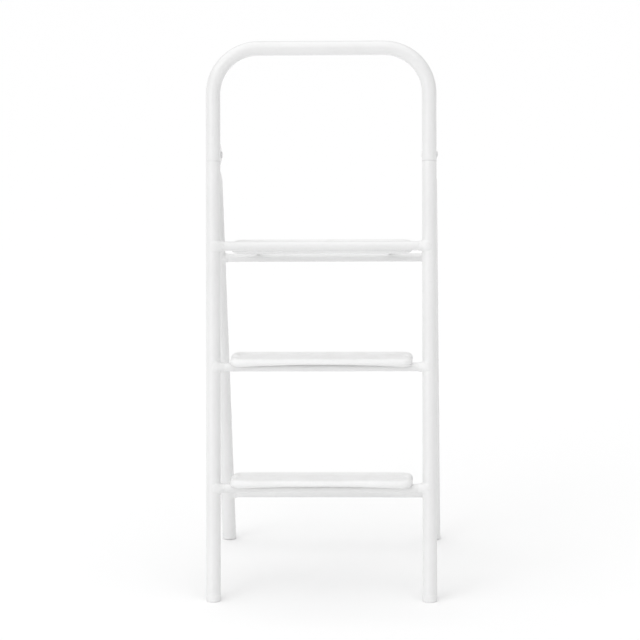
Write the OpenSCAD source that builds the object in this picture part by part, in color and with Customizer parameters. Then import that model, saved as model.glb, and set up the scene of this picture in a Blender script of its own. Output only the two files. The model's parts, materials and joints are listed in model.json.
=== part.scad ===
// Folding step ladder shelf: a tubular front frame with a hoop handrail and
// three level treads, and a rear frame that swings on two riveted hinges.
// Millimetres. X across, -Y toward the user, +Z up, floor at z = 0.

/* [Frame] */
// outside diameter of the rails, hoop and rear legs
tube_d = 28; // [22:0.5:35]
// wall of every tube
tube_wall = 1.5; // [1:0.1:2.5]
// distance between the two front rails, axis to axis
rail_span = 420; // [340:5:520]
// lean of the front frame from the vertical
front_lean = 13; // [8:0.5:20]
// lean of the rear frame from the vertical
rear_lean = 14.3; // [8:0.1:20]
// height of the hinge axis above the floor
pivot_height = 838; // [700:1:1000]
// distance of the hinge axis behind the front rail axis
pivot_offset = 31; // [30.6:0.2:45]
// moves the whole ladder so its footprint is centred on the origin
footprint_shift = 5.87; // [-20:0.01:20]

/* [Hoop handrail] */
// hoop axis above the hinge, measured along the rail
hoop_rise = 205; // [120:5:320]
// bend radius of the two top corners, on the tube axis
hoop_bend = 88; // [60:1:120]
// where the hoop ends on the rail, below the hinge
seam_drop = 14; // [12:1:20]
// length of the rail's reduced end inside the hoop
spigot_length = 38; // [20:1:60]

/* [Steps] */
// top cross tube below the hinge, measured along the rail
top_step_drop = 179; // [160:1:200]
// distance between steps along the rail
step_pitch = 235; // [200:1:260]
// diameter of the cross tube above the top tread
cross_tube_d = 18; // [14:0.5:22]
// diameter of the rods under the other treads
cross_rod_d = 17; // [12:0.5:20]
// width of a tread across the ladder
tread_width = 356; // [300:1:376]
// depth of a tread from front to back
tread_depth = 78; // [65:1:100]
// diameter of the rolled front and back edges
roll_d = 17; // [14:0.5:20]
// plan radius of a tread corner on the roll axis
corner_bend = 13; // [10:1:26]
// height of the deck's underside above the roll axis
deck_level = 5; // [3:0.5:6]
// sheet thickness of a tread
sheet = 1.4; // [1:0.1:2]
// height of a lower tread's roll axis above its rod
tread_rise = 12; // [10:0.5:17]
// front roll axis ahead of its rod
tread_reach = 18; // [12:1:24]
// distance of the bearers from the middle of the ladder
bearer_x = 130; // [90:1:150]
// thickness of a bearer plate
bearer_plate = 5; // [3:0.5:8]

/* [Rear frame] */
// diameter of the two rear rods
rear_rod_d = 16; // [12:0.5:20]
// upper rear rod below the hinge, measured along the leg
upper_rod_drop = 223.5; // [215:0.5:240]
// lower rear rod below the hinge, measured along the leg
lower_rod_drop = 759; // [700:1:800]
// gap between the upper rod and the hooks that stop it
hook_gap = 0.3; // [0.3:0.1:1]

/* [Hinges] */
// rivet shank diameter
rivet_d = 8; // [6:0.5:10]
// rivet head diameter
rivet_head_d = 13.5; // [12:0.5:16]
// rivet head height
rivet_head = 4.2; // [3:0.1:5]
// thickness of the flattened end of a rear leg
ear_thickness = 15; // [10:1:18]
// sheet thickness of a hinge bracket
bracket_sheet = 2.5; // [2:0.1:3]
// running clearance of the bushes on the rivet, on the radius
running_gap = 0.05; // [0.03:0.01:0.1]

/* [Foot caps] */
// outside diameter of a foot cap
cap_d = 30.4; // [29:0.1:30.6]
// height of a cap up the tube
cap_height = 12; // [10:1:25]

/* [Hidden] */
$fn = 96;
bore_d = tube_d - 2 * tube_wall;
roll_r = roll_d / 2;
span = rail_span / 2;
front_length = (pivot_height + pivot_offset * sin(front_lean)) / cos(front_lean);
rear_length = pivot_height / cos(rear_lean);
top_tube_y = -pivot_offset * cos(front_lean) - top_step_drop * sin(front_lean);
top_tube_z = pivot_offset * sin(front_lean) - top_step_drop * cos(front_lean);
roll_drop = 10.5;
roll_back = sqrt(pow(cross_tube_d / 2 + roll_r, 2) - pow(roll_drop, 2));
hook_rod_y = upper_rod_drop * sin(rear_lean);
hook_rod_z = -upper_rod_drop * cos(rear_lean);
cheek_in = ear_thickness / 2 + 3.5;
cheek_out = cheek_in + bracket_sheet;
ear_start = 40;
half_roll = tread_depth / 2 - roll_r;
half_side = tread_width / 2 - roll_r;

coat = [0.93, 0.93, 0.92];
plastic = [0.86, 0.86, 0.85];

// frames of reference -------------------------------------------------------

// origin on the hinge axis
module at_hinge() { translate([0, footprint_shift, pivot_height]) children(); }

// origin on the front rail axis beside the hinge, z up along the rail
module front_frame() {
  at_hinge() rotate([-front_lean, 0, 0]) translate([0, -pivot_offset, 0]) children();
}

// origin on the hinge axis, z up along the rear leg
module rear_frame() { at_hinge() rotate([rear_lean, 0, 0]) children(); }

// origin on the axis of the rod under a lower step, z level
module at_step(number) {
  front_frame() translate([0, 0, -top_step_drop - number * step_pitch])
    rotate([front_lean, 0, 0]) children();
}

module rod(diameter, length) {
  rotate([0, 90, 0]) cylinder(d = diameter, h = length, center = true);
}

module below_floor() { translate([-400, -500, -60]) cube([800, 1000, 60]); }

// front frame ---------------------------------------------------------------

module hoop_bar(diameter) {
  reach = hoop_rise - hoop_bend;
  for (side = [-1, 1]) {
    translate([side * span, 0, -seam_drop]) cylinder(d = diameter, h = reach + seam_drop);
    translate([side * (span - hoop_bend), 0, reach]) rotate([90, 0, 0])
      rotate([0, 0, side > 0 ? 0 : 90]) rotate_extrude(angle = 90)
        translate([hoop_bend, 0]) circle(d = diameter);
  }
  translate([0, 0, hoop_rise]) rod(diameter, 2 * (span - hoop_bend));
}

module hoop_handle() color(coat) front_frame() difference() {
  hoop_bar(tube_d);
  hoop_bar(bore_d);
  for (side = [-1, 1]) translate([side * span, 0, -seam_drop - 1])
    cylinder(d = bore_d, h = 2);
}

module front_rail(side) color(coat) front_frame() translate([side * span, 0, 0]) difference() {
  union() {
    translate([0, 0, -front_length + 6]) cylinder(d = tube_d, h = front_length - 6 - seam_drop);
    translate([0, 0, -seam_drop - 1]) cylinder(d = bore_d, h = spigot_length + 1);
  }
  translate([0, 0, -front_length - 1]) cylinder(d = bore_d, h = front_length - seam_drop - 5);
  translate([0, 0, -seam_drop - 7]) cylinder(d = bore_d - 2 * tube_wall, h = spigot_length + 9);
}

module rails_envelope() {
  for (side = [-1, 1]) translate([side * span, 0, -front_length]) cylinder(d = tube_d, h = front_length);
}

module cross_bar(drop, diameter) color(coat) front_frame() difference() {
  translate([0, 0, -drop]) rod(diameter, rail_span);
  translate([0, 0, -drop]) rod(diameter - 2 * tube_wall, rail_span + 2);
  rails_envelope();
}

// treads --------------------------------------------------------------------

// the curl of a rolled edge: outward is +x, the open slit faces in and down
module curl(radius) {
  difference() {
    circle(r = radius);
    circle(r = radius - sheet);
    polygon([[0, 0], [-radius * 1.5, -radius * 0.75], [-radius * 0.9, -radius * 1.6]]);
  }
}

module tread_outline(inset) {
  across = half_side - corner_bend;
  deep = half_roll - corner_bend;
  for (sx = [-1, 1], sy = [-1, 1]) translate([sx * across, sy * deep])
    circle(r = corner_bend - inset);
  square([2 * across, 2 * (half_roll - inset)], center = true);
  square([2 * (half_side - inset), 2 * deep], center = true);
}

module tread_pan() {
  across = half_side - corner_bend;
  deep = half_roll - corner_bend;
  for (turn = [0, 180]) rotate([0, 0, turn]) {
    // front and back rolls
    translate([-across, half_roll, 0]) rotate([90, 0, 90])
      linear_extrude(2 * across) curl(roll_r);
    // corners of the rolls
    translate([across, deep, 0]) rotate_extrude(angle = 90)
      translate([corner_bend, 0]) curl(roll_r);
    translate([-across, deep, 0]) rotate([0, 0, 90]) rotate_extrude(angle = 90)
      translate([corner_bend, 0]) curl(roll_r);
    // closed ends of the rolls, and the low turned-down flange between them
    for (sx = [-1, 1]) translate([sx * half_side, deep, 0]) rotate([90, 0, 0])
      cylinder(r = roll_r, h = sheet);
    translate([half_side + roll_r - 5, -deep - 0.5, -roll_r + 3])
      cube([sheet, 2 * deep + 1, roll_r - 0.6]);
    translate([half_side - 7, -deep - 0.5, 1]) cube([roll_r + 3.4, 2 * deep + 1, sheet]);
  }
  // dished deck between the rolls
  translate([0, 0, deck_level]) linear_extrude(sheet) tread_outline(5.5);
  for (side = [-1, 1]) translate([side * (half_side - 6.4 - sheet / 2) - sheet / 2, -deep - 0.5, 1])
    cube([sheet, 2 * deep + 1, deck_level - 0.5]);
}

// the pan of a lower step, its front roll ahead of the rod
module at_lower_pan(number) {
  at_step(number) translate([0, half_roll - tread_reach, tread_rise]) children();
}

// the pan of the top step, tucked behind the cross tube
module at_top_pan() {
  at_hinge() translate([0, top_tube_y + roll_back + half_roll, top_tube_z - roll_drop]) children();
}

module rolls_envelope() { for (sy = [-1, 1]) translate([0, sy * half_roll, 0]) rod(roll_d, tread_width); }

// plate that carries a lower pan on its rod
module lower_bearer(number, side) color(coat) difference() {
  at_step(number) translate([side * bearer_x - bearer_plate / 2, 0, 0]) rotate([90, 0, 90])
    linear_extrude(bearer_plate) polygon([
      [roll_r - tread_reach + 3, tread_rise + deck_level], [roll_r - tread_reach + 3, 3],
      [-4, -cross_rod_d / 2 + 1], [8, -cross_rod_d / 2 + 1],
      [2 * half_roll - tread_reach - 3, 6], [2 * half_roll - tread_reach - 3, tread_rise + deck_level]]);
  at_step(number) rod(cross_rod_d, rail_span);
  at_lower_pan(number) rolls_envelope();
}

// bearer under the top tread that hooks over the upper rear rod
module hook_bearer(side) color(coat) difference() {
  hook_in = hook_rod_y + rear_rod_d / 2 + hook_gap;
  seat = hook_rod_z + rear_rod_d / 2 + hook_gap;
  front = top_tube_y + roll_back;
  level = top_tube_z - roll_drop;
  at_hinge() translate([side * bearer_x - bearer_plate / 2, 0, 0]) rotate([90, 0, 90])
    linear_extrude(bearer_plate) polygon([
      [front + 3, level + deck_level], [front + 3, level - 7.5], [front + 12, level - 8],
      [hook_rod_y - 10, seat], [hook_in, seat], [hook_in, hook_rod_z - 4],
      [hook_in + 3, hook_rod_z - 7], [hook_in + 8, hook_rod_z - 4],
      [hook_in + 8, level - 18.5], [hook_in - 4, level - 12.5],
      [front + 2 * half_roll + roll_r, level - 7], [front + 2 * half_roll, level - 5],
      [front + 2 * half_roll - 3, level + deck_level]]);
  at_top_pan() rolls_envelope();
}

// hinges --------------------------------------------------------------------

// side view of a cheek: straight on the rail, round about the hinge axis
module cheek_profile() {
  foot_y = 3;
  foot_z = 22;
  eye = 14.5;
  away = sqrt(pow(pivot_offset - foot_y, 2) + pow(foot_z, 2));
  slope = asin(eye / away) - atan2(foot_z, pivot_offset - foot_y);
  run = sqrt(away * away - eye * eye);
  translate([pivot_offset, 0]) circle(r = eye);
  polygon([[foot_y, -foot_z], [foot_y, foot_z],
    [foot_y + run * cos(slope), foot_z + run * sin(slope)],
    [foot_y + run * cos(slope), -foot_z - run * sin(slope)]]);
}

module hinge_bracket(side) color(coat) front_frame() translate([side * span, 0, 0]) difference() {
  union() {
    for (face = [-1, 1]) translate([face * (cheek_in + cheek_out) / 2 - bracket_sheet / 2, 0, 0])
      rotate([90, 0, 90]) linear_extrude(bracket_sheet) cheek_profile();
    translate([-cheek_out, tube_d / 2 - 5, -20]) cube([2 * cheek_out, 5 + bracket_sheet - 0.2, 40]);
  }
  translate([0, 0, -60]) cylinder(d = tube_d, h = 120);
  translate([0, pivot_offset, 0]) rod(rivet_d, 60);
}

module pivot_rivet(side) color(coat) rear_frame() translate([side * span, 0, 0]) rotate([0, 90, 0]) {
  ball = (pow(rivet_head_d / 2, 2) + pow(rivet_head, 2)) / (2 * rivet_head);
  rotate_extrude() {
    translate([0, -cheek_out]) square([rivet_d / 2, 2 * cheek_out]);
    for (end = [-1, 1]) intersection() {
      translate([0, end * (cheek_out + rivet_head - ball)]) circle(r = ball);
      translate([0, end > 0 ? cheek_out : -cheek_out - 6]) square([rivet_head_d, 6]);
      translate([0, -40]) square([rivet_head_d / 2 - 0.2, 80]);
    }
  }
}

module pivot_bushes(side) color(plastic) rear_frame() translate([side * span, 0, 0])
  for (turn = [0, 180]) rotate([0, turn, 0]) difference() {
    rotate([0, 90, 0]) union() {
      translate([0, 0, 0.5]) cylinder(d = rivet_d + 4, h = ear_thickness / 2);
      translate([0, 0, ear_thickness / 2]) cylinder(d = 20, h = 3.1);
    }
    rod(rivet_d + 2 * running_gap, 60);
  }

// rear frame ----------------------------------------------------------------

module rear_leg(side) color(coat) rear_frame() translate([side * span, 0, 0]) difference() {
  union() {
    translate([0, 0, -rear_length + 6]) cylinder(d = tube_d, h = rear_length - 6 - ear_start);
    // flattened end, tapering from the tube to the hinge ear
    intersection() {
      union() {
        translate([0, 0, -ear_start - 1]) cylinder(d = tube_d, h = ear_start + 1);
        rod(tube_d, tube_d);
      }
      translate([0, 30, 0]) rotate([90, 0, 0]) linear_extrude(60) polygon([
        [-tube_d / 2 - 1, -ear_start - 2], [tube_d / 2 + 1, -ear_start - 2], [tube_d / 2, -ear_start],
        [ear_thickness / 2, -tube_d / 2 - 2], [ear_thickness / 2, tube_d], [-ear_thickness / 2, tube_d],
        [-ear_thickness / 2, -tube_d / 2 - 2], [-tube_d / 2, -ear_start]]);
    }
  }
  translate([0, 0, -rear_length - 1]) cylinder(d = bore_d, h = rear_length - ear_start - 1);
  rod(rivet_d + 4, 60);
}

module rear_rod(drop) color(coat) rear_frame() difference() {
  translate([0, 0, -drop]) rod(rear_rod_d, rail_span);
  translate([0, 0, -drop]) rod(rear_rod_d - 2 * tube_wall, rail_span + 2);
  for (side = [-1, 1]) translate([side * span, 0, -rear_length]) cylinder(d = tube_d, h = rear_length - ear_start);
}

// foot caps -----------------------------------------------------------------

// cup over the tube end with a plug inside it, origin where the axis meets the floor
module cap_body() {
  rounding = 5;
  sole = 3.4;
  rotate_extrude() difference() {
    union() {
      translate([0, -sole]) square([cap_d / 2 - rounding, cap_height + sole]);
      translate([0, rounding - sole]) square([cap_d / 2, cap_height - rounding + sole - 1]);
      translate([0, cap_height - 2]) square([cap_d / 2 - 1, 2]);
      translate([cap_d / 2 - rounding, rounding - sole]) circle(r = rounding);
      translate([cap_d / 2 - 1, cap_height - 1]) circle(r = 1);
      translate([0, 5]) square([bore_d / 2, 18]);
    }
    translate([bore_d / 2, 6]) square([tube_wall, 40]);
    translate([0, 10]) square([bore_d / 2 - 2, 40]);
    translate([-20, -10]) square([20, 80]);
  }
}

module front_foot_cap(side) color(plastic) difference() {
  front_frame() translate([side * span, 0, -front_length]) cap_body();
  below_floor();
}

module rear_foot_cap(side) color(plastic) difference() {
  rear_frame() translate([side * span, 0, -rear_length]) cap_body();
  below_floor();
}

// nodes ---------------------------------------------------------------------

module left_front_rail() front_rail(-1);
module right_front_rail() front_rail(1);
module top_cross_tube() cross_bar(top_step_drop, cross_tube_d);
module middle_cross_rod() cross_bar(top_step_drop + step_pitch, cross_rod_d);
module bottom_cross_rod() cross_bar(top_step_drop + 2 * step_pitch, cross_rod_d);
module top_tread() color(coat) at_top_pan() tread_pan();
module middle_tread() color(coat) at_lower_pan(1) tread_pan();
module bottom_tread() color(coat) at_lower_pan(2) tread_pan();
module left_hook_bearer() hook_bearer(-1);
module right_hook_bearer() hook_bearer(1);
module left_middle_bearer() lower_bearer(1, -1);
module right_middle_bearer() lower_bearer(1, 1);
module left_bottom_bearer() lower_bearer(2, -1);
module right_bottom_bearer() lower_bearer(2, 1);
module left_hinge_bracket() hinge_bracket(-1);
module right_hinge_bracket() hinge_bracket(1);
module left_pivot_rivet() pivot_rivet(-1);
module right_pivot_rivet() pivot_rivet(1);
module left_front_foot_cap() front_foot_cap(-1);
module right_front_foot_cap() front_foot_cap(1);
module left_rear_leg() rear_leg(-1);
module right_rear_leg() rear_leg(1);
module rear_upper_rod() rear_rod(upper_rod_drop);
module rear_lower_rod() rear_rod(lower_rod_drop);
module left_pivot_bushes() pivot_bushes(-1);
module right_pivot_bushes() pivot_bushes(1);
module left_rear_foot_cap() rear_foot_cap(-1);
module right_rear_foot_cap() rear_foot_cap(1);

hoop_handle();
left_front_rail();
right_front_rail();
top_cross_tube();
middle_cross_rod();
bottom_cross_rod();
top_tread();
middle_tread();
bottom_tread();
left_hook_bearer();
right_hook_bearer();
left_middle_bearer();
right_middle_bearer();
left_bottom_bearer();
right_bottom_bearer();
left_hinge_bracket();
right_hinge_bracket();
left_pivot_rivet();
right_pivot_rivet();
left_front_foot_cap();
right_front_foot_cap();
left_rear_leg();
right_rear_leg();
rear_upper_rod();
rear_lower_rod();
left_pivot_bushes();
right_pivot_bushes();
left_rear_foot_cap();
right_rear_foot_cap();
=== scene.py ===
import json
import math

import bmesh
import bpy
from mathutils import Matrix, Vector, noise


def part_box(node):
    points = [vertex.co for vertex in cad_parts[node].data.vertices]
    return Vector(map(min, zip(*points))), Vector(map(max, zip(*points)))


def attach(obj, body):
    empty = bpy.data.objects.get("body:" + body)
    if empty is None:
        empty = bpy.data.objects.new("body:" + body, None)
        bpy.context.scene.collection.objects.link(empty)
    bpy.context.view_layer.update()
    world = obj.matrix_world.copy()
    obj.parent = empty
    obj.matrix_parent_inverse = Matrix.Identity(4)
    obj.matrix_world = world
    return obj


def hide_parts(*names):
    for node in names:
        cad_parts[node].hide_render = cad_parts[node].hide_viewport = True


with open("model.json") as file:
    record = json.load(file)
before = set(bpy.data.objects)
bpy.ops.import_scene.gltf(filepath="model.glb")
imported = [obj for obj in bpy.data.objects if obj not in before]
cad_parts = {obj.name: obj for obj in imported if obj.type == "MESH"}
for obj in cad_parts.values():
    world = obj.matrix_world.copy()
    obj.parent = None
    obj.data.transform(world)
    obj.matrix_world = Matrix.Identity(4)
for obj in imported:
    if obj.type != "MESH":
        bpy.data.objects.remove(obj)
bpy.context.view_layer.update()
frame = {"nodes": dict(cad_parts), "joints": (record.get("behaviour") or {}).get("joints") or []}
nodes = frame["nodes"]
scene = bpy.context.scene

# camera

cameraLook = {
    "target": (-0.0075, 0.0059, 0.5075),
    "distance": 7.215,
    "azimuth": 2.8,
    "elevation": 12.57,
    "roll": 0.7,
    "lens": 206.1,
    "sensor": 36.0,
    "farClip": 60.0,
}


def addCamera(look):
    azimuth = math.radians(look["azimuth"])
    elevation = math.radians(look["elevation"])
    outward = Vector((
        math.sin(azimuth) * math.cos(elevation),
        -math.cos(azimuth) * math.cos(elevation),
        math.sin(elevation),
    ))
    data = bpy.data.cameras.new("camera")
    data.lens = look["lens"]
    data.sensor_width = look["sensor"]
    data.clip_end = look["farClip"]
    camera = bpy.data.objects.new("camera", data)
    camera.location = Vector(look["target"]) + outward * look["distance"]
    turn = (-outward).to_track_quat("-Z", "Y").to_matrix()
    roll = Matrix.Rotation(math.radians(-look["roll"]), 3, "Z")
    camera.rotation_euler = (turn @ roll).to_euler()
    scene.collection.objects.link(camera)
    scene.camera = camera


addCamera(cameraLook)
print("camera placed")

# the CAD's own lines: rod axes, rail axes and the hinge


def boxCentre(node):
    low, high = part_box(node)
    return (low + high) / 2


def boxSize(node):
    low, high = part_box(node)
    return high - low


hingePoint = Vector(frame["joints"][0]["pos_m"])
topRod, bottomRod = boxCentre("top_cross_tube"), boxCentre("bottom_cross_rod")
rearTopRod, rearLowRod = boxCentre("rear_upper_rod"), boxCentre("rear_lower_rod")
railX = boxCentre("right_front_rail").x
railRadius = boxSize("right_front_rail").x / 2
frontUp = (topRod - bottomRod).normalized()
rearUp = (rearTopRod - rearLowRod).normalized()
acrossAxis = Vector((1, 0, 0))
rearBack = rearUp.cross(acrossAxis)
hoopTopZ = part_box("hoop_handle")[1].z - railRadius
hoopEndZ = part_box("hoop_handle")[0].z + railRadius * abs(frontUp.y)
hoopReach = (hoopTopZ - topRod.z) / frontUp.z
seamReach = (hoopEndZ - topRod.z) / frontUp.z
footReach = -topRod.z / frontUp.z
rearLength = hingePoint.z / rearUp.z


def onRail(side, reach):
    # reach is measured up the rail from the top cross tube
    return Vector((side * railX, topRod.y, topRod.z)) + frontUp * reach


def onRearLeg(side, drop):
    # drop is measured down the leg from the hinge
    return Vector((side * railX, hingePoint.y, hingePoint.z)) - rearUp * drop


def axesMatrix(origin, right, back, up):
    matrix = Matrix((right, back, up)).transposed().to_4x4()
    matrix.translation = origin
    return matrix


print("frame lines read")

# shader groups shared by the finishes


def newGroup(name, inputs, outputs):
    group = bpy.data.node_groups.new(name, "ShaderNodeTree")
    for label, kind, value in inputs:
        socket = group.interface.new_socket(name=label, in_out="INPUT", socket_type=kind)
        if value is not None:
            socket.default_value = value
    for label, kind in outputs:
        group.interface.new_socket(name=label, in_out="OUTPUT", socket_type=kind)
    group.nodes.new("NodeGroupInput").name = "in"
    group.nodes.new("NodeGroupOutput").name = "out"
    return group


def addNode(tree, kind, **settings):
    node = tree.nodes.new(kind)
    for key, value in settings.items():
        setattr(node, key, value)
    return node


def mathNode(tree, operation, first, second=None, clamp=False):
    node = addNode(tree, "ShaderNodeMath", operation=operation, use_clamp=clamp)
    for index, value in enumerate((first, second)):
        if value is None:
            continue
        if isinstance(value, (int, float)):
            node.inputs[index].default_value = value
        else:
            tree.links.new(value, node.inputs[index])
    return node.outputs[0]


def noiseNode(tree, scale, detail=2.0, roughness=0.5, vector=None):
    node = addNode(tree, "ShaderNodeTexNoise")
    node.inputs["Detail"].default_value = detail
    node.inputs["Roughness"].default_value = roughness
    if isinstance(scale, (int, float)):
        node.inputs["Scale"].default_value = scale
    else:
        tree.links.new(scale, node.inputs["Scale"])
    if vector is None:
        vector = addNode(tree, "ShaderNodeTexCoord").outputs["Object"]
    tree.links.new(vector, node.inputs["Vector"])
    return node.outputs["Fac"]


def rampNode(tree, value, start, gain):
    # nothing below start, then a rise as steep as gain, held at one
    return mathNode(tree, "MULTIPLY", mathNode(tree, "SUBTRACT", value, start, True), gain, True)


def layColour(group, mask, label):
    # mixes the group's own colour over the one it is given, and puts out both results
    source, out = group.nodes["in"], group.nodes["out"]
    mix = addNode(group, "ShaderNodeMix", data_type="RGBA")
    group.links.new(mask, mix.inputs["Factor"])
    group.links.new(source.outputs["Colour"], mix.inputs["A"])
    group.links.new(source.outputs[label], mix.inputs["B"])
    group.links.new(mix.outputs["Result"], out.inputs["Colour"])
    group.links.new(mask, out.inputs["Mask"])


skinSettings = {"peelDetail": 1.5, "swellDetail": 2.0}


def buildCoatSkin(settings):
    # fine orange peel with slower swells under it, as a thick powder coat flows out
    group = newGroup(
        "coatSkin",
        [
            ("Peel Scale", "NodeSocketFloat", 420.0),
            ("Peel Depth", "NodeSocketFloat", 0.35),
            ("Swell Scale", "NodeSocketFloat", 60.0),
            ("Swell Depth", "NodeSocketFloat", 1.0),
        ],
        [("Height", "NodeSocketFloat")],
    )
    source, out = group.nodes["in"], group.nodes["out"]
    peel = noiseNode(group, source.outputs["Peel Scale"], settings["peelDetail"])
    swell = noiseNode(group, source.outputs["Swell Scale"], settings["swellDetail"])
    peel = mathNode(group, "MULTIPLY", peel, source.outputs["Peel Depth"])
    swell = mathNode(group, "MULTIPLY", swell, source.outputs["Swell Depth"])
    group.links.new(mathNode(group, "ADD", peel, swell), out.inputs["Height"])
    return group


dustSettings = {
    "lieFrom": 0.25, "lieGain": 1.2,  # how level a face must be to hold dust
    "patchFrom": 0.38, "patchGain": 2.4, "detail": 5.0, "rough": 0.6,
}


def buildSettledDust(settings):
    # thin grey dust that lies on faces looking up, broken by noise
    group = newGroup(
        "settledDust",
        [
            ("Colour", "NodeSocketColor", (0.9, 0.9, 0.9, 1.0)),
            ("Dust Colour", "NodeSocketColor", (0.6, 0.58, 0.55, 1.0)),
            ("Amount", "NodeSocketFloat", 0.2),
            ("Scale", "NodeSocketFloat", 30.0),
        ],
        [("Colour", "NodeSocketColor"), ("Mask", "NodeSocketFloat")],
    )
    source = group.nodes["in"]
    split = addNode(group, "ShaderNodeSeparateXYZ")
    group.links.new(addNode(group, "ShaderNodeNewGeometry").outputs["Normal"], split.inputs[0])
    lying = rampNode(group, split.outputs["Z"], settings["lieFrom"], settings["lieGain"])
    patch = noiseNode(group, source.outputs["Scale"], settings["detail"], settings["rough"])
    patch = rampNode(group, patch, settings["patchFrom"], settings["patchGain"])
    mask = mathNode(group, "MULTIPLY", lying, patch)
    mask = mathNode(group, "MULTIPLY", mask, source.outputs["Amount"], True)
    layColour(group, mask, "Dust Colour")
    return group


markSettings = {
    "streak": (3.0, 0.65), "streakFrom": 0.62, "streakGain": 5.0,  # noise detail and roughness
    "speck": (1.0, 0.5), "speckFrom": 0.78, "speckGain": 12.0,
}


def buildRubMarks(settings):
    # faint grey streaks and specks where shoes and hands have rubbed
    group = newGroup(
        "rubMarks",
        [
            ("Colour", "NodeSocketColor", (0.9, 0.9, 0.9, 1.0)),
            ("Mark Colour", "NodeSocketColor", (0.45, 0.45, 0.46, 1.0)),
            ("Amount", "NodeSocketFloat", 0.2),
            ("Stretch", "NodeSocketVector", (30.0, 220.0, 220.0)),
            ("Speck Scale", "NodeSocketFloat", 160.0),
        ],
        [("Colour", "NodeSocketColor"), ("Mask", "NodeSocketFloat")],
    )
    source = group.nodes["in"]
    place = addNode(group, "ShaderNodeVectorMath", operation="MULTIPLY")
    group.links.new(addNode(group, "ShaderNodeTexCoord").outputs["Object"], place.inputs[0])
    group.links.new(source.outputs["Stretch"], place.inputs[1])
    detail, rough = settings["streak"]
    streak = noiseNode(group, 1.0, detail, rough, place.outputs[0])
    streak = rampNode(group, streak, settings["streakFrom"], settings["streakGain"])
    detail, rough = settings["speck"]
    speck = noiseNode(group, source.outputs["Speck Scale"], detail, rough)
    speck = rampNode(group, speck, settings["speckFrom"], settings["speckGain"])
    marks = mathNode(group, "MAXIMUM", streak, speck)
    mask = mathNode(group, "MULTIPLY", marks, source.outputs["Amount"], True)
    layColour(group, mask, "Mark Colour")
    return group


coatSkin = buildCoatSkin(skinSettings)
settledDust = buildSettledDust(dustSettings)
rubMarks = buildRubMarks(markSettings)
print("shader groups built")

# finishes

frameCoatLook = {
    "colour": (0.82, 0.82, 0.82), "shade": (0.785, 0.785, 0.785), "patchScale": 9.0,
    "roughness": (0.36, 0.48), "coat": 0.5, "coatRoughness": 0.12, "specular": 0.5,
    "peel": (420.0, 0.25), "swell": (55.0, 1.0), "bump": 0.0011,
    "dust": 0.10, "marks": 0.10,
}
# the treads take the frame's white coat painted lighter: painted light that brightens the decks
treadCoatPaintedLighterLook = {
    "colour": (0.86, 0.86, 0.86), "shade": (0.82, 0.82, 0.82), "patchScale": 14.0,
    "roughness": (0.40, 0.54), "coat": 0.05, "coatRoughness": 0.3, "specular": 0.15,
    "peel": (380.0, 0.25), "swell": (70.0, 1.0), "bump": 0.0011,
    "dust": 0.20, "marks": 0.30,
}
weldCoatLook = {
    "colour": (0.83, 0.83, 0.83), "shade": (0.785, 0.785, 0.785), "patchScale": 12.0,
    "roughness": (0.34, 0.48), "coat": 0.3, "coatRoughness": 0.16, "specular": 0.5,
    "peel": (420.0, 0.25), "swell": (120.0, 1.0), "bump": 0.0012,
    "dust": 0.12, "marks": 0.12,
}
# the rivet heads take the frame's white coat painted lighter: painted light that lifts the shade
# they sit in against the rails
rivetCoatPaintedLighterLook = {
    "colour": (0.88, 0.88, 0.88), "shade": (0.84, 0.84, 0.84), "patchScale": 60.0,
    "roughness": (0.3, 0.42), "coat": 0.3, "coatRoughness": 0.2, "specular": 0.5,
    "peel": (500.0, 0.3), "swell": (160.0, 0.8), "bump": 0.0006,
    "dust": 0.1, "marks": 0.15,
}
capPlasticLook = {
    "colour": (0.83, 0.83, 0.83), "shade": (0.79, 0.79, 0.79), "patchScale": 40.0,
    "roughness": (0.5, 0.66), "coat": 0.0, "coatRoughness": 0.4, "specular": 0.5,
    "peel": (900.0, 0.5), "swell": (120.0, 0.6), "bump": 0.0005,
    "dust": 0.16, "marks": 0.25,
}
bushNylonLook = {
    "colour": (0.75, 0.75, 0.72), "shade": (0.69, 0.69, 0.65), "patchScale": 80.0,
    "roughness": (0.42, 0.55), "coat": 0.0, "coatRoughness": 0.4, "specular": 0.5,
    "peel": (1200.0, 0.5), "swell": (200.0, 0.5), "bump": 0.0003,
    "dust": 0.1, "marks": 0.15,
}


blendSettings = {
    "toneFrom": 0.42, "toneGain": 2.2, "toneDetail": 4.0, "toneRough": 0.55,
    "dustDulls": 0.4, "marksDull": 0.2,
}


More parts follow.
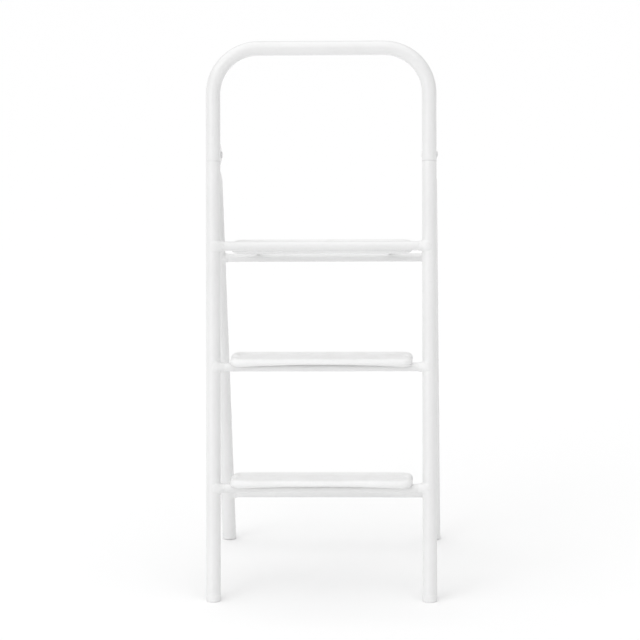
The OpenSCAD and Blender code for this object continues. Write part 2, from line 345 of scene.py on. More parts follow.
def makeFinish(name, look, settings=blendSettings):
    material = bpy.data.materials.new(name)
    material.use_nodes = True
    tree = material.node_tree
    shader = tree.nodes["Principled BSDF"]
    shader.inputs["Coat Weight"].default_value = look["coat"]
    shader.inputs["Coat Roughness"].default_value = look["coatRoughness"]
    shader.inputs["Specular IOR Level"].default_value = look["specular"]
    # slow change of tone over the piece
    patch = noiseNode(tree, look["patchScale"], settings["toneDetail"], settings["toneRough"])
    tone = addNode(tree, "ShaderNodeMix", data_type="RGBA")
    tone.inputs["A"].default_value = (*look["colour"], 1.0)
    tone.inputs["B"].default_value = (*look["shade"], 1.0)
    fade = rampNode(tree, patch, settings["toneFrom"], settings["toneGain"])
    tree.links.new(fade, tone.inputs["Factor"])
    marks = addNode(tree, "ShaderNodeGroup", node_tree=rubMarks)
    marks.inputs["Amount"].default_value = look["marks"]
    tree.links.new(tone.outputs["Result"], marks.inputs["Colour"])
    dust = addNode(tree, "ShaderNodeGroup", node_tree=settledDust)
    dust.inputs["Amount"].default_value = look["dust"]
    tree.links.new(marks.outputs["Colour"], dust.inputs["Colour"])
    tree.links.new(dust.outputs["Colour"], shader.inputs["Base Color"])
    # dust and rubbing dull the gloss
    low, high = look["roughness"]
    dull = mathNode(tree, "ADD", mathNode(tree, "MULTIPLY", patch, high - low), low)
    dusty = mathNode(tree, "MULTIPLY", dust.outputs["Mask"], settings["dustDulls"])
    dull = mathNode(tree, "ADD", dull, dusty)
    rubbed = mathNode(tree, "MULTIPLY", marks.outputs["Mask"], settings["marksDull"])
    tree.links.new(mathNode(tree, "ADD", dull, rubbed, True), shader.inputs["Roughness"])
    skin = addNode(tree, "ShaderNodeGroup", node_tree=coatSkin)
    for word in ("Peel", "Swell"):
        scale, depth = look[word.lower()]
        skin.inputs[word + " Scale"].default_value = scale
        skin.inputs[word + " Depth"].default_value = depth
    bump = addNode(tree, "ShaderNodeBump")
    bump.inputs["Strength"].default_value = 1.0
    bump.inputs["Distance"].default_value = look["bump"]
    tree.links.new(skin.outputs["Height"], bump.inputs["Height"])
    tree.links.new(bump.outputs["Normal"], shader.inputs["Normal"])
    return material


frameCoat = makeFinish("frameCoat", frameCoatLook)
treadCoat = makeFinish("treadCoat", treadCoatPaintedLighterLook)
weldCoat = makeFinish("weldCoat", weldCoatLook)
rivetCoat = makeFinish("rivetCoat", rivetCoatPaintedLighterLook)
capPlastic = makeFinish("capPlastic", capPlasticLook)
bushNylon = makeFinish("bushNylon", bushNylonLook)
print("finishes made")

# geometry trees


def newTree(name, inputs):
    tree = bpy.data.node_groups.new(name, "GeometryNodeTree")
    tree.interface.new_socket(name="Geometry", in_out="INPUT", socket_type="NodeSocketGeometry")
    for label, kind, value in inputs:
        socket = tree.interface.new_socket(name=label, in_out="INPUT", socket_type=kind)
        if value is not None:
            socket.default_value = value
    tree.interface.new_socket(name="Geometry", in_out="OUTPUT", socket_type="NodeSocketGeometry")
    tree.nodes.new("NodeGroupInput").name = "in"
    tree.nodes.new("NodeGroupOutput").name = "out"
    return tree


def setInputs(modifier, values):
    for item in modifier.node_group.interface.items_tree:
        if item.item_type == "SOCKET" and item.in_out == "INPUT" and item.name in values:
            modifier[item.identifier] = values[item.name]


def smoothFaces(obj):
    for polygon in obj.data.polygons:
        polygon.use_smooth = True


def takeEvaluated(obj):
    # the mesh that the modifiers give becomes the object's own
    bpy.context.view_layer.update()
    evaluated = obj.evaluated_get(bpy.context.evaluated_depsgraph_get())
    mesh = bpy.data.meshes.new_from_object(evaluated)
    obj.modifiers.clear()
    obj.data = mesh
    mesh.name = obj.name


def bakeTree(obj, tree, values):
    modifier = obj.modifiers.new(tree.name, "NODES")
    modifier.node_group = tree
    setInputs(modifier, values)
    takeEvaluated(obj)
    return obj


def buildCoatedTube():
    # a tube swept along the line it is given, its coat swelling a little
    tree = newTree("coatedTube", [
        ("Radius", "NodeSocketFloat", 0.014),
        ("Sides", "NodeSocketInt", 40),
        ("Step", "NodeSocketFloat", 0.006),
        ("Swell", "NodeSocketFloat", 0.0002),
        ("Swell Scale", "NodeSocketFloat", 22.0),
        ("Finish", "NodeSocketMaterial", None),
    ])
    source, out = tree.nodes["in"], tree.nodes["out"]
    line = addNode(tree, "GeometryNodeMeshToCurve")
    even = addNode(tree, "GeometryNodeResampleCurve", mode="LENGTH")
    ring = addNode(tree, "GeometryNodeCurvePrimitiveCircle", mode="RADIUS")
    sweep = addNode(tree, "GeometryNodeCurveToMesh")
    sweep.inputs["Fill Caps"].default_value = True
    tree.links.new(source.outputs["Geometry"], line.inputs["Mesh"])
    tree.links.new(line.outputs["Curve"], even.inputs["Curve"])
    tree.links.new(source.outputs["Step"], even.inputs["Length"])
    tree.links.new(source.outputs["Sides"], ring.inputs["Resolution"])
    tree.links.new(source.outputs["Radius"], ring.inputs["Radius"])
    tree.links.new(even.outputs["Curve"], sweep.inputs["Curve"])
    tree.links.new(ring.outputs["Curve"], sweep.inputs["Profile Curve"])
    place = addNode(tree, "GeometryNodeInputPosition")
    wave = addNode(tree, "ShaderNodeTexNoise")
    wave.inputs["Detail"].default_value = 1.5
    tree.links.new(place.outputs[0], wave.inputs["Vector"])
    tree.links.new(source.outputs["Swell Scale"], wave.inputs["Scale"])
    # noise of 0 to 1 becomes -Swell to +Swell
    amount = mathNode(tree, "SUBTRACT", wave.outputs["Fac"], 0.5)
    amount = mathNode(tree, "MULTIPLY", amount, source.outputs["Swell"])
    amount = mathNode(tree, "MULTIPLY", amount, 2.0)
    push = addNode(tree, "ShaderNodeVectorMath", operation="SCALE")
    tree.links.new(addNode(tree, "GeometryNodeInputNormal").outputs[0], push.inputs[0])
    tree.links.new(amount, push.inputs["Scale"])
    shift = addNode(tree, "GeometryNodeSetPosition")
    tree.links.new(sweep.outputs["Mesh"], shift.inputs["Geometry"])
    tree.links.new(push.outputs[0], shift.inputs["Offset"])
    smooth = addNode(tree, "GeometryNodeSetShadeSmooth")
    real = addNode(tree, "GeometryNodeRealizeInstances")
    paint = addNode(tree, "GeometryNodeSetMaterial")
    tree.links.new(shift.outputs[0], smooth.inputs["Geometry"])
    tree.links.new(smooth.outputs[0], real.inputs[0])
    tree.links.new(real.outputs[0], paint.inputs["Geometry"])
    tree.links.new(source.outputs["Finish"], paint.inputs["Material"])
    tree.links.new(paint.outputs[0], out.inputs[0])
    return tree


def buildScatter():
    # one copy of a master piece on every point, turned by the point's own attribute
    tree = newTree("pieceOnPoints", [
        ("Piece", "NodeSocketObject", None),
        ("Scale", "NodeSocketFloat", 1.0),
        ("Finish", "NodeSocketMaterial", None),
    ])
    source, out = tree.nodes["in"], tree.nodes["out"]
    info = addNode(tree, "GeometryNodeObjectInfo")
    turn = addNode(tree, "GeometryNodeInputNamedAttribute", data_type="FLOAT_VECTOR")
    turn.inputs["Name"].default_value = "turn"
    points = addNode(tree, "GeometryNodeInstanceOnPoints")
    real = addNode(tree, "GeometryNodeRealizeInstances")
    paint = addNode(tree, "GeometryNodeSetMaterial")
    spin = addNode(tree, "FunctionNodeEulerToRotation")
    tree.links.new(source.outputs["Geometry"], points.inputs["Points"])
    tree.links.new(source.outputs["Piece"], info.inputs["Object"])
    tree.links.new(info.outputs["Geometry"], points.inputs["Instance"])
    tree.links.new(turn.outputs["Attribute"], spin.inputs[0])
    tree.links.new(spin.outputs[0], points.inputs["Rotation"])
    tree.links.new(source.outputs["Scale"], points.inputs["Scale"])
    tree.links.new(points.outputs[0], real.inputs[0])
    tree.links.new(real.outputs[0], paint.inputs["Geometry"])
    tree.links.new(source.outputs["Finish"], paint.inputs["Material"])
    tree.links.new(paint.outputs[0], out.inputs[0])
    return tree


coatedTube, pieceOnPoints = buildCoatedTube(), buildScatter()
print("geometry trees built")

# helpers for meshes


def newPiece(name, vertices, faces, edges=()):
    mesh = bpy.data.meshes.new(name)
    mesh.from_pydata([tuple(v) for v in vertices], list(edges), faces)
    obj = bpy.data.objects.new(name, mesh)
    scene.collection.objects.link(obj)
    return obj


wideMerge, fineMerge = 0.00002, 0.000005


def ringFaces(rows, sides):
    # rings stacked one on another, closed at both ends
    faces = []
    for row in range(rows - 1):
        for index in range(sides):
            after = (index + 1) % sides
            faces.append((
                row * sides + index, row * sides + after,
                (row + 1) * sides + after, (row + 1) * sides + index,
            ))
    faces.append(tuple(range(sides)))
    faces.append(tuple(range((rows - 1) * sides, rows * sides)))
    return faces


def profileFaces(count, deep, closed):
    # profiles side by side, the last joined to the first
    faces = []
    for index in range(count):
        after = (index + 1) % count
        for k in range(deep if closed else deep - 1):
            below = (k + 1) % deep
            faces.append((
                index * deep + k, index * deep + below,
                after * deep + below, after * deep + k,
            ))
    return faces


def cleanMesh(obj, merge=wideMerge):
    work = bmesh.new()
    work.from_mesh(obj.data)
    bmesh.ops.remove_doubles(work, verts=work.verts, dist=merge)
    bmesh.ops.recalc_face_normals(work, faces=work.faces)
    work.to_mesh(obj.data)
    work.free()
    smoothFaces(obj)


def finishPiece(obj, body, slotName, material, *replaced):
    if not obj.data.materials:
        obj.data.materials.append(material)
    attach(obj, body)
    if replaced:
        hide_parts(*replaced)
    return obj


def joinPieces(name, pieces):
    # one mesh from several, each already in place
    work = bmesh.new()
    for piece in pieces:
        work.from_mesh(piece.data)
        bpy.data.objects.remove(piece)
    joined = newPiece(name, [], [])
    work.to_mesh(joined.data)
    work.free()
    smoothFaces(joined)
    return joined


def sweepTube(name, path, radius, **values):
    line = newPiece(name, path, [], [(i, i + 1) for i in range(len(path) - 1)])
    return bakeTree(line, coatedTube, {"Radius": radius, "Finish": frameCoat, **values})


def wobble(point, scale, amount):
    return noise.noise(Vector(point) * scale) * amount


# tubes of the front frame

hoopSettings = {
    "bend": 0.088, "bendSteps": 22, "step": 0.005, "swell": 0.00022, "lip": 0.0006, "sides": 48,
}
railSettings = {"swell": 0.0002, "seamGap": 0.0002, "lip": 0.0006, "capCover": 0.006, "sides": 48}
crossSettings = {"swell": 0.0004, "swellScale": 26.0, "insideRail": 0.004, "sides": 36}


def softEnd(piece, endPoint, axis, lip):
    # rounds the end of a tube: vertices near endPoint draw in towards the axis
    axis, slack = Vector(axis).normalized(), 0.00001
    for vertex in piece.data.vertices:
        reach = (vertex.co - endPoint).dot(axis)
        if -slack <= reach < lip:
            away = vertex.co - endPoint - axis * reach
            if away.length > slack / 10:
                sink = lip - math.sqrt(max(0.0, lip * lip - (lip - max(reach, 0.0)) ** 2))
                vertex.co -= away.normalized() * min(sink, away.length)


def makeHoop(settings):
    bend = settings["bend"]
    path = [onRail(-1, seamReach)]
    for side in (-1, 1):
        arc = []
        for step in range(settings["bendSteps"] + 1):
            angle = math.pi / 2 * step / settings["bendSteps"]
            arc.append(
                onRail(side, hoopReach - bend + bend * math.sin(angle))
                + Vector((-side * bend * (1 - math.cos(angle)), 0, 0))
            )
        path += arc if side < 0 else arc[::-1]
    path.append(onRail(1, seamReach))
    hoop = sweepTube(
        "hoopTube", path, railRadius,
        Swell=settings["swell"], Sides=settings["sides"], Step=settings["step"],
    )
    for side in (-1, 1):
        softEnd(hoop, onRail(side, seamReach), frontUp, settings["lip"])
    return finishPiece(hoop, "front_frame", "frame_coat", frameCoat, "hoop_handle")


def makeRail(side, name, node, settings):
    path = [
        onRail(side, footReach + settings["capCover"]),
        onRail(side, seamReach - settings["seamGap"]),
    ]
    rail = sweepTube(name, path, railRadius, Swell=settings["swell"], Sides=settings["sides"])
    softEnd(rail, path[-1], -frontUp, settings["lip"])
    return finishPiece(rail, "front_frame", "frame_coat", frameCoat, node)


def makeCrossRod(name, centre, radius, body, node, settings):
    reach = railX - settings["insideRail"]
    path = [centre - acrossAxis * reach, centre, centre + acrossAxis * reach]
    sizes = {"Swell": settings["swell"], "Swell Scale": settings["swellScale"]}
    rod = sweepTube(name, path, radius, Sides=settings["sides"], **sizes)
    return finishPiece(rod, body, "frame_coat", frameCoat, node)


makeHoop(hoopSettings)
makeRail(-1, "leftRail", "left_front_rail", railSettings)
makeRail(1, "rightRail", "right_front_rail", railSettings)
for name, node, body in (
    ("topCrossTube", "top_cross_tube", "front_frame"),
    ("middleCrossRod", "middle_cross_rod", "front_frame"),
    ("bottomCrossRod", "bottom_cross_rod", "front_frame"),
    ("rearUpperRod", "rear_upper_rod", "rear_frame"),
    ("rearLowerRod", "rear_lower_rod", "rear_frame"),
):
    makeCrossRod(name, boxCentre(node), boxSize(node).z / 2, body, node, crossSettings)
print("tubes swept")

# rear legs, flattened to an ear at the hinge

rearLegSettings = {
    "earHalf": 0.0074, "earTop": 0.0138, "earSteps": 12, "widen": 0.0002,
    "flatUntil": 0.012, "taperUntil": 0.062, "squareness": 1.6, "tip": 0.86,
    "start": 0.004, "fineStep": 0.003, "step": 0.006, "capCover": 0.006,
    "sides": 48, "swell": 0.0002, "swellScale": 22.0,
}


def makeRearLeg(side, name, node, settings):
    origin = onRearLeg(side, 0.0)
    place = axesMatrix(origin, acrossAxis, rearBack, rearUp)
    sides, radius = settings["sides"], railRadius
    # rounded top of the ear, then the taper, then the plain tube
    drops = []
    for k in range(settings["earSteps"] + 1):
        angle = math.pi / 2 * (1 - k / settings["earSteps"])
        drops.append((-settings["earTop"] * math.sin(angle), math.cos(angle)))
    drop, end = settings["start"], rearLength - settings["capCover"]
    while drop < end:
        drops.append((drop, 1.0))
        drop += settings["step"] if drop > settings["taperUntil"] else settings["fineStep"]
    drops.append((end, 1.0))
    vertices = []
    for drop, breadth in drops:
        blend = (drop - settings["flatUntil"]) / (settings["taperUntil"] - settings["flatUntil"])
        blend = min(1.0, max(0.0, blend))
        blend = blend * blend * (3 - 2 * blend)
        thick = settings["earHalf"] + (radius - settings["earHalf"]) * blend
        if drop <= -settings["earTop"] * 0.98:
            thick *= settings["tip"]
        wide = (radius + settings["widen"] * (1 - blend)) * max(breadth, 0.02)
        # a power of 2 is round, more is squarer
        power = 2.0 + settings["squareness"] * (1 - blend)
        for index in range(sides):
            angle = 2 * math.pi * index / sides
            c, s = math.cos(angle), math.sin(angle)
            x = math.copysign(abs(c) ** (2 / power), c) * thick
            y = math.copysign(abs(s) ** (2 / power), s) * wide
            point = Vector((x, y, -drop))
            sway = wobble(place @ point, settings["swellScale"], settings["swell"])
            vertices.append(place @ (point + Vector((c, s, 0)) * sway))
    leg = newPiece(name, vertices, ringFaces(len(drops), sides))
    cleanMesh(leg)
    return finishPiece(leg, "rear_frame", "frame_coat", frameCoat, node)


makeRearLeg(-1, "leftRearLeg", "left_rear_leg", rearLegSettings)
makeRearLeg(1, "rightRearLeg", "right_rear_leg", rearLegSettings)
print("rear legs drawn")

# treads

treadSettings = {
    "bend": 0.013, "deckRise": 0.0063, "deckInset": 0.0118, "deckRows": 5,
    "notchHalf": 0.0098, "notchDeep": 0.0085, "notchSink": 0.0020, "notchPower": 1.3,
    "sheet": 0.0014, "rollSheet": 0.00182, "swell": 0.0004, "swellScale": 30.0,
    "swellRise": 0.6,  # share of the swell that lifts the sheet
    # room kept inside the CAD's box: ends, front and back, top, underside, waist of the deck
    "endRoom": 0.001, "sideRoom": 0.0006, "crownRoom": 0.0003, "keelRoom": 0.0004,
    "waistRoom": 0.003,
    "slopeSteps": 7, "rollSteps": 14, "archEnd": 0.95,
    "longStep": 0.004, "endStep": 0.0013, "cornerSteps": 12,
    "arch": {"top_tread": 0.0008, "middle_tread": 0.0050, "bottom_tread": 0.0042},
    # turned-in edge of the sheet and the inside of the roll, in degrees round the roll
    "curlAngles": (200, 222, 244), "curlTuck": 0.97,
    "insideAngles": (244, 222, 200, 175, 150, 120, 90, 65, 40, 20),
}


def roundedLoop(halfX, halfY, settings):
    # points and outward directions along the roll's own line, front first
    bend, steps = settings["bend"], settings["cornerSteps"]
    corners = [(1, -1, -90), (1, 1, 0), (-1, 1, 90), (-1, -1, 180)]
    loop = []
    for number, (sx, sy, begin) in enumerate(corners):
        centre = Vector((sx * (halfX - bend), sy * (halfY - bend), 0))
        for k in range(steps):
            angle = math.radians(begin + 90 * k / steps)
            outward = Vector((math.cos(angle), math.sin(angle), 0))
            loop.append((centre + outward * bend, outward))
        nextX, nextY, _ = corners[(number + 1) % 4]
        nextCentre = Vector((nextX * (halfX - bend), nextY * (halfY - bend), 0))
        ending = math.radians(begin + 90)
        outward = Vector((math.cos(ending), math.sin(ending), 0))
        start, stop = centre + outward * bend, nextCentre + outward * bend
        stride = settings["endStep"] if abs(outward.x) > 0.5 else settings["longStep"]
        count = 2 * max(1, round((stop - start).length / stride / 2))
        for k in range(count):
            loop.append((start.lerp(stop, k / count), outward))
    return loop


def makeTread(name, node, settings):
    low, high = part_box(node)
    middle = (low + high) / 2
    roll = (high.z - low.z) / 2
    halfX = (high.x - low.x) / 2 - roll - settings["endRoom"]
    halfY = (high.y - low.y) / 2 - roll - settings["sideRoom"]
    sheet, deck, inset = settings["sheet"], settings["deckRise"], settings["deckInset"]
    waist = halfX - settings["notchDeep"] - inset - settings["waistRoom"]
    columns = []
    for place, outward in roundedLoop(halfX, halfY, settings):
        # the ends pull in between the front and back rolls
        dent = max(0.0, 1 - abs(place.y) / settings["notchHalf"]) if abs(outward.x) > 0.99 else 0.0
        dent = dent ** settings["notchPower"]
        start = place - outward * settings["notchDeep"] * dent
        # the front roll's underside arches up towards the middle
        along = place.x / (halfX * settings["archEnd"])
        arch = settings["arch"][node] * max(0.0, -outward.y) * max(0.0, 1 - along ** 2)
        crown = roll - settings["crownRoom"] - settings["notchSink"] * dent
        keel = roll - settings["keelRoom"] - arch
        profile = []
        for k in range(1, settings["slopeSteps"] + 1):
            t = k / settings["slopeSteps"]
            profile.append((inset * (1 - t), deck + (crown - deck) * t * t * (3 - 2 * t)))
        for k in range(1, settings["rollSteps"] + 1):
            angle = math.pi * k / settings["rollSteps"]
            height = math.cos(angle)
            profile.append((-roll * math.sin(angle), (crown if height > 0 else keel) * height))
        for angle in settings["curlAngles"]:
            turned = math.radians(angle)
            tucked = roll * settings["curlTuck"]
            profile.append((-tucked * math.sin(turned), keel * math.cos(turned)))
        thin = settings["rollSheet"]
        for angle in settings["insideAngles"]:
            turned = math.radians(angle)
            height = ((crown if angle < 90 else keel) - thin) * math.cos(turned)
            profile.append((-(roll - thin) * math.sin(turned), min(height, deck - sheet)))
        profile.append((inset * 0.5, deck - sheet))

        def settled(flat, height):
            level = middle + flat + Vector((0, 0, height))
            sway = wobble(level, settings["swellScale"], settings["swell"])
            aside = outward * sway * min(1.0, abs(height) * 100)
            return middle + flat + aside + Vector((0, 0, height + sway * settings["swellRise"]))

        def deckRow(height):
            rows = []
            for k in range(settings["deckRows"] + 1):
                t = 1 - k / settings["deckRows"]
                flat = start - outward * inset
                level = math.copysign(min(abs(flat.x), waist), flat.x)
                flat = Vector((flat.x * (1 - t) + level * t, flat.y * (1 - t), 0))
                sway = wobble(middle + flat, settings["swellScale"], settings["swell"])
                rows.append(middle + flat + Vector((0, 0, height + sway * settings["swellRise"])))
            return rows

        column = deckRow(deck)
        column += [settled(start - outward * reach, height) for reach, height in profile]
        column += deckRow(deck - sheet)[::-1]
        columns.append(column)
    vertices = [point for column in columns for point in column]
    tread = newPiece(name, vertices, profileFaces(len(columns), len(columns[0]), False))
    cleanMesh(tread)
    return finishPiece(tread, "front_frame", "tread_coat", treadCoat, node)


makeTread("topTread", "top_tread", treadSettings)
makeTread("middleTread", "middle_tread", treadSettings)
makeTread("bottomTread", "bottom_tread", treadSettings)
print("treads pressed")

# foot caps

capSettings = {
    "radius": 0.0144, "height": 0.012, "softTop": 0.0018, "softSole": 0.0018,
    "topSteps": 6, "soleSteps": 7, "sides": 48,
    "wallLevels": (0.75, 3.5 / 6, 2.5 / 6), "soleFill": 0.6,  # shares of the height and the sole
}


def makeFootCap(name, node, origin, up, body, settings):
    # turned cup round the tube, its lower end cut level with the floor and rounded
    back = up.cross(acrossAxis)
    sides, radius, top = settings["sides"], settings["radius"], settings["height"]
    softTop, softSole = settings["softTop"], settings["softSole"]
    angles = [2 * math.pi * index / sides for index in range(sides)]

    def around(angle, reach):
        return origin + acrossAxis * (reach * math.cos(angle)) + back * (reach * math.sin(angle))

    levels = []
    for k in range(settings["topSteps"] + 1):
        turned = math.pi / 2 * k / settings["topSteps"]
        reach = radius - softTop * (1 - math.sin(turned))
        levels.append((reach, top - softTop * (1 - math.cos(turned))))
    levels += [(radius, top * level) for level in settings["wallLevels"]]
    rings = [[around(angle, reach) + up * height for angle in angles] for reach, height in levels]
    # where each side line meets the floor
    sole = []
    for angle in angles:
        start = around(angle, radius)
        sole.append(start - up * (start.z / up.z))
    centre = Vector((origin.x, sum(point.y for point in sole) / sides, 0.0))
    for k in range(settings["soleSteps"] + 1):
        turned = math.pi / 2 * k / settings["soleSteps"]
        rise, draw = softSole * (1 - math.sin(turned)), softSole * (1 - math.cos(turned))
        ring = []
        for point in sole:
            inward = (centre - point).normalized()
            ring.append(point + up * (rise / up.z) + inward * draw)
        rings.append(ring)
    rings.append([point.lerp(centre, settings["soleFill"]) for point in rings[-1]])
    vertices = [point for ring in rings for point in ring]
    cap = newPiece(name, vertices, ringFaces(len(rings), sides))
    cleanMesh(cap)
    return finishPiece(cap, body, "foot_cap_plastic", capPlastic, node)


for side, word in ((-1, "left"), (1, "right")):
    makeFootCap(
        word + "FrontCap", word + "_front_foot_cap",
        onRail(side, footReach), frontUp, "front_frame", capSettings,
    )
    makeFootCap(
        word + "RearCap", word + "_rear_foot_cap",
        onRearLeg(side, rearLength), rearUp, "rear_frame", capSettings,
    )
print("foot caps turned")

# weld beads

weldSettings = {
    "aroundSteps": 56, "outerSteps": 13, "innerSteps": 5, "tuck": 0.0004, "innerSink": -0.002,
    "lump": 0.0003, "lumpScale": 150.0, "ragged": 0.12, "raggedScale": 2.1, "square": 3,
}
# along the rod, spread over the rail, lap over the rail's front, and height of the bead
jointSettings = {
    "topCrossTube": ("top_cross_tube", 0.010, 0.0024, 0.0200, 0.0012),
    "middleCrossRod": ("middle_cross_rod", 0.011, 0.0028, 0.0170, 0.0013),
    "bottomCrossRod": ("bottom_cross_rod", 0.011, 0.0028, 0.0165, 0.0013),
    "rearUpperRod": ("rear_upper_rod", 0.008, 0.0026, 0.0050, 0.0009),
    "rearLowerRod": ("rear_lower_rod", 0.008, 0.0026, 0.0050, 0.0009),
}


def makeWeldBead(side, node, up, sizes, settings):
    # fillet ring between a rod and a round rail, lapping further over the rail's front
    along, spread, face, height = sizes
    centre, rodRadius = boxCentre(node), boxSize(node).z / 2
    toward = Vector((-side, 0, 0))
    back = up.cross(acrossAxis)
    origin = Vector((side * railX, centre.y, centre.z))
    radius, tuck, square = railRadius, settings["tuck"], settings["square"]
    # out over the bead, then back inside the tubes
    courses = (
        (height, settings["outerSteps"], False),
        (settings["innerSink"], settings["innerSteps"], True),
    )

    def onFace(high, arc, radial):
        turn = arc / radius
        return origin + up * high + (toward * math.cos(turn) + back * math.sin(turn)) * radial

    rings = []
    around = settings["aroundSteps"]
    for index in range(around):
        angle = 2 * math.pi * index / around
        high, wide = math.cos(angle), math.sin(angle)
        scale = settings["raggedScale"]
        place = Vector((high * scale, wide * scale, side * 3.7 + centre.z * 9))
        ragged = 1 + settings["ragged"] * noise.noise(place)
        tall, deep = rodRadius + spread, rodRadius + (face if wide < 0 else spread)
        outline = (abs(high / tall) ** square + abs(wide / deep) ** square) ** (-1 / square)
        reach = outline * ragged - rodRadius
        seat = math.sqrt(radius * radius - (rodRadius * wide) ** 2)
        bow = radius * math.asin(rodRadius * wide / radius)
        ring = []
        for lift, count, turned in courses:
            for k in range(count):
                t = k / count
                t = 1 - t if turned else t
                slide, step = along * ragged * (1 - t) ** 2, reach * t * t
                swell = lift * math.sin(math.pi * min(1.0, t * 1.2)) - tuck * (1 - t) ** 6
                onRod = origin + toward * (seat + slide)
                onRod += (up * high + back * wide) * (rodRadius + swell)
                rise = lift * (1 - t ** 5) - tuck * t ** 12
                onWall = onFace((rodRadius + step) * high, bow + step * wide, radius + slide + rise)
                ease = t * t * (3 - 2 * t)
                point = onRod.lerp(onWall, ease)
                if not turned and 0 < k:
                    lump = wobble(point, settings["lumpScale"], settings["lump"] * 4 * t * (1 - t))
                    point += (onWall - origin).normalized() * lump
                ring.append(point)
        rings.append(ring)
    vertices = [point for ring in rings for point in ring]
    bead = newPiece("bead", vertices, profileFaces(around, len(rings[0]), True))
    cleanMesh(bead, fineMerge)
    return bead


for jointName, (node, *sizes) in jointSettings.items():
    up, body = (rearUp, "rear_frame") if "rear" in jointName else (frontUp, "front_frame")
    beads = [makeWeldBead(side, node, up, sizes, weldSettings) for side in (-1, 1)]
    finishPiece(joinPieces(jointName + "Welds", beads), body, "frame_coat", weldCoat)
print("rods welded")

# bent and cut plate: hooks, bearers and hinge brackets, with their edges eased

plateSettings = {"ease": 0.0007, "easeSteps": 3, "sharp": 28.0, "flat": 1.0, "crease": 35.0}


def makePlate(name, node, settings):
    # a copy of the CAD's plate, its flat faces made whole and its edges rounded
    copy = bpy.data.objects.new(name, nodes[node].data.copy())
    scene.collection.objects.link(copy)
    copy.data.materials.clear()
    work = bmesh.new()
    work.from_mesh(copy.data)
    bmesh.ops.remove_doubles(work, verts=work.verts, dist=fineMerge)
    flat = math.radians(settings["flat"])
    bmesh.ops.dissolve_limit(work, angle_limit=flat, verts=work.verts, edges=work.edges)
    bmesh.ops.recalc_face_normals(work, faces=work.faces)
    work.to_mesh(copy.data)
    work.free()
    bevel = copy.modifiers.new("ease", "BEVEL")
    bevel.width = settings["ease"]
    bevel.segments = settings["easeSteps"]
    bevel.limit_method = "ANGLE"
    bevel.angle_limit = math.radians(settings["sharp"])
    takeEvaluated(copy)
    smoothFaces(copy)
    copy.data.set_sharp_from_angle(angle=math.radians(settings["crease"]))
    return finishPiece(copy, "front_frame", "frame_coat", frameCoat, node)


for word in ("left", "right"):
    makePlate(word + "HookBearer", word + "_hook_bearer", plateSettings)
    makePlate(word + "MiddleBearer", word + "_middle_bearer", plateSettings)
    makePlate(word + "BottomBearer", word + "_bottom_bearer", plateSettings)
    makePlate(word + "HingeBracket", word + "_hinge_bracket", plateSettings)
print("plates eased")

# rivets and bushes at the hinge, turned once and set at both ends

rivetSettings = {
    "shank": 0.0039, "grip": 0.0135, "head": 0.0064, "rim": 0.0003, "dome": 0.0030, "flat": 0.0012,
    "domeSteps": 8, "turn": 0.4, "sides": 40,
}
bushSettings = {
    "bore": 0.0041, "sleeve": 0.0059, "flange": 0.0099, "inside": 0.0008,
    "earFace": 0.00755, "outside": 0.0105, "soft": 0.0007, "sides": 48,
}


def turnedPiece(name, profile, sides, closed):
    # profile is (distance along X, radius), spun round X
    vertices, count = [], len(profile)
    for index in range(sides):
        angle = 2 * math.pi * index / sides
        vertices += [(x, r * math.cos(angle), r * math.sin(angle)) for x, r in profile]
    faces = profileFaces(sides, count, closed)
    if not closed:
        faces.append(tuple(index * count for index in range(sides)))
        faces.append(tuple(index * count + count - 1 for index in range(sides)))
    piece = newPiece(name, vertices, faces)
    cleanMesh(piece, fineMerge)
    return piece


def placeCopies(name, master, places, finish):
    # places is a list of (point, turn)
    points = newPiece(name, [point for point, turn in places], [])
    turns = points.data.attributes.new("turn", "FLOAT_VECTOR", "POINT")
    for index, (point, turn) in enumerate(places):
        turns.data[index].vector = turn
    bakeTree(points, pieceOnPoints, {"Piece": master, "Finish": finish})
    bpy.data.objects.remove(master)
    smoothFaces(points)
    return points


def makeRivets(settings):
    grip, head, rim = settings["grip"], settings["head"], settings["rim"]
    steps = settings["domeSteps"]
    half = [(grip - rim / 3, settings["shank"]), (grip, head * 0.9), (grip + rim, head * 0.99)]
    for k in range(1, steps + 1):
        angle = math.pi / 2 * k / steps
        reach = grip + rim + (settings["dome"] - rim) * math.sin(angle)
        half.append((reach, head * 0.99 * math.cos(angle) + settings["flat"] * math.sin(angle)))
    profile = [(-x, r) for x, r in reversed(half)] + half
    master = turnedPiece("rivetMaster", profile, settings["sides"], False)
    places = [(onRearLeg(side, 0.0), (settings["turn"] * side, 0, 0)) for side in (-1, 1)]
    return placeCopies("pivotRivets", master, places, rivetCoat)


def makeBushes(settings):
    bore, sleeve, flange = settings["bore"], settings["sleeve"], settings["flange"]
    inside, earFace, outside = settings["inside"], settings["earFace"], settings["outside"]
    soft = settings["soft"]
    profile = [
        (inside, bore), (inside, sleeve), (earFace, sleeve),
        (earFace, flange - soft), (earFace + soft * 0.3, flange - soft * 0.3),
        (earFace + soft, flange), (outside - soft, flange),
        (outside - soft * 0.3, flange - soft * 0.3), (outside, flange - soft),
        (outside, bore + soft), (outside - soft * 0.5, bore),
    ]
    master = turnedPiece("bushMaster", profile, settings["sides"], True)
    places = []
    for side in (-1, 1):
        for turn in (0, math.pi):
            places.append((onRearLeg(side, 0.0), (0, 0, turn)))
    return placeCopies("pivotBushes", master, places, bushNylon)


finishPiece(
    makeRivets(rivetSettings), "front_frame", "rivet_coat", rivetCoat,
    "left_pivot_rivet", "right_pivot_rivet",
)
finishPiece(
    makeBushes(bushSettings), "rear_frame", "bush_nylon", bushNylon,
    "left_pivot_bushes", "right_pivot_bushes",
)
print("hinge pins and bushes set")

# studio

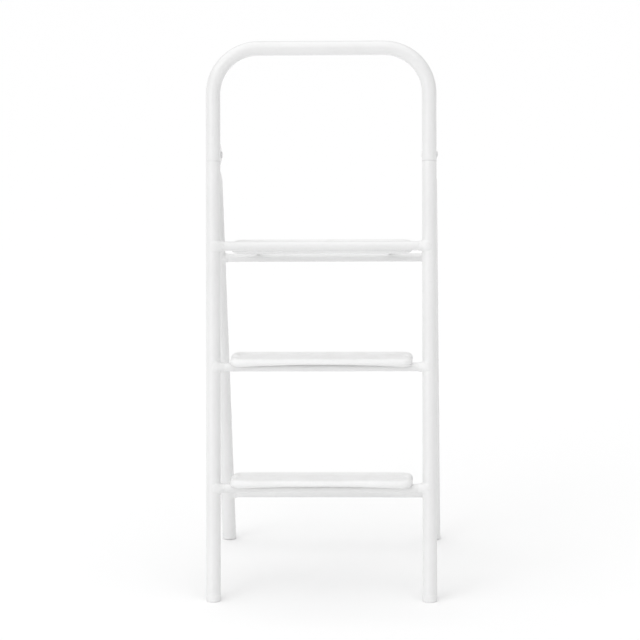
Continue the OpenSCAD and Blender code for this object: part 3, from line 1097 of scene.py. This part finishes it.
studioSettings = {
    "floorColour": (0.93, 0.93, 0.93), "floorRough": 0.9, "floorSize": 60.0,
    "skyColour": (1.0, 1.0, 1.0), "skyStrength": 0.50,
}
sunSettings = [
    {"name": "softTop", "strength": 1.72, "angle": 100.0, "from": (-0.15, -0.12, 1.0)},
    {"name": "softFront", "strength": 0.40, "angle": 40.0, "from": (-0.65, -0.9, 0.5)},
]
stripSettings = [
    {"name": "leftStrip", "place": (-2.2, -2.9, 1.3), "power": 2.6, "size": (0.8, 2.4)},
    {"name": "rightStrip", "place": (1.7, -3.2, 1.3), "power": 2.4, "size": (0.7, 2.4)},
]
stripAim = (0, 0, 0.6)


def addStrip(settings):
    data = bpy.data.lights.new(settings["name"], "AREA")
    data.energy = settings["power"]
    data.shape = "RECTANGLE"
    data.size, data.size_y = settings["size"]
    lamp = bpy.data.objects.new(settings["name"], data)
    lamp.location = settings["place"]
    beam = Vector(stripAim) - Vector(settings["place"])
    lamp.rotation_euler = beam.to_track_quat("-Z", "Y").to_euler()
    scene.collection.objects.link(lamp)


def addSun(settings):
    data = bpy.data.lights.new(settings["name"], "SUN")
    data.energy = settings["strength"]
    data.angle = math.radians(settings["angle"])
    lamp = bpy.data.objects.new(settings["name"], data)
    lamp.rotation_euler = Vector(settings["from"]).to_track_quat("Z", "Y").to_euler()
    scene.collection.objects.link(lamp)


def addStudio(settings):
    world = bpy.data.worlds.new("studio")
    world.use_nodes = True
    sky = world.node_tree.nodes["Background"]
    sky.inputs["Color"].default_value = (*settings["skyColour"], 1.0)
    sky.inputs["Strength"].default_value = settings["skyStrength"]
    scene.world = world
    half = settings["floorSize"] / 2
    corners = [(-half, -half, 0), (half, -half, 0), (half, half, 0), (-half, half, 0)]
    floor = newPiece("floor", corners, [(0, 1, 2, 3)])
    material = bpy.data.materials.new("paleFloor")
    material.use_nodes = True
    shader = material.node_tree.nodes["Principled BSDF"]
    shader.inputs["Base Color"].default_value = (*settings["floorColour"], 1.0)
    shader.inputs["Roughness"].default_value = settings["floorRough"]
    floor.data.materials.append(material)


addStudio(studioSettings)
for sunSetting in sunSettings:
    addSun(sunSetting)
for stripSetting in stripSettings:
    addStrip(stripSetting)
scene.view_settings.view_transform = "Standard"
print("studio lit")
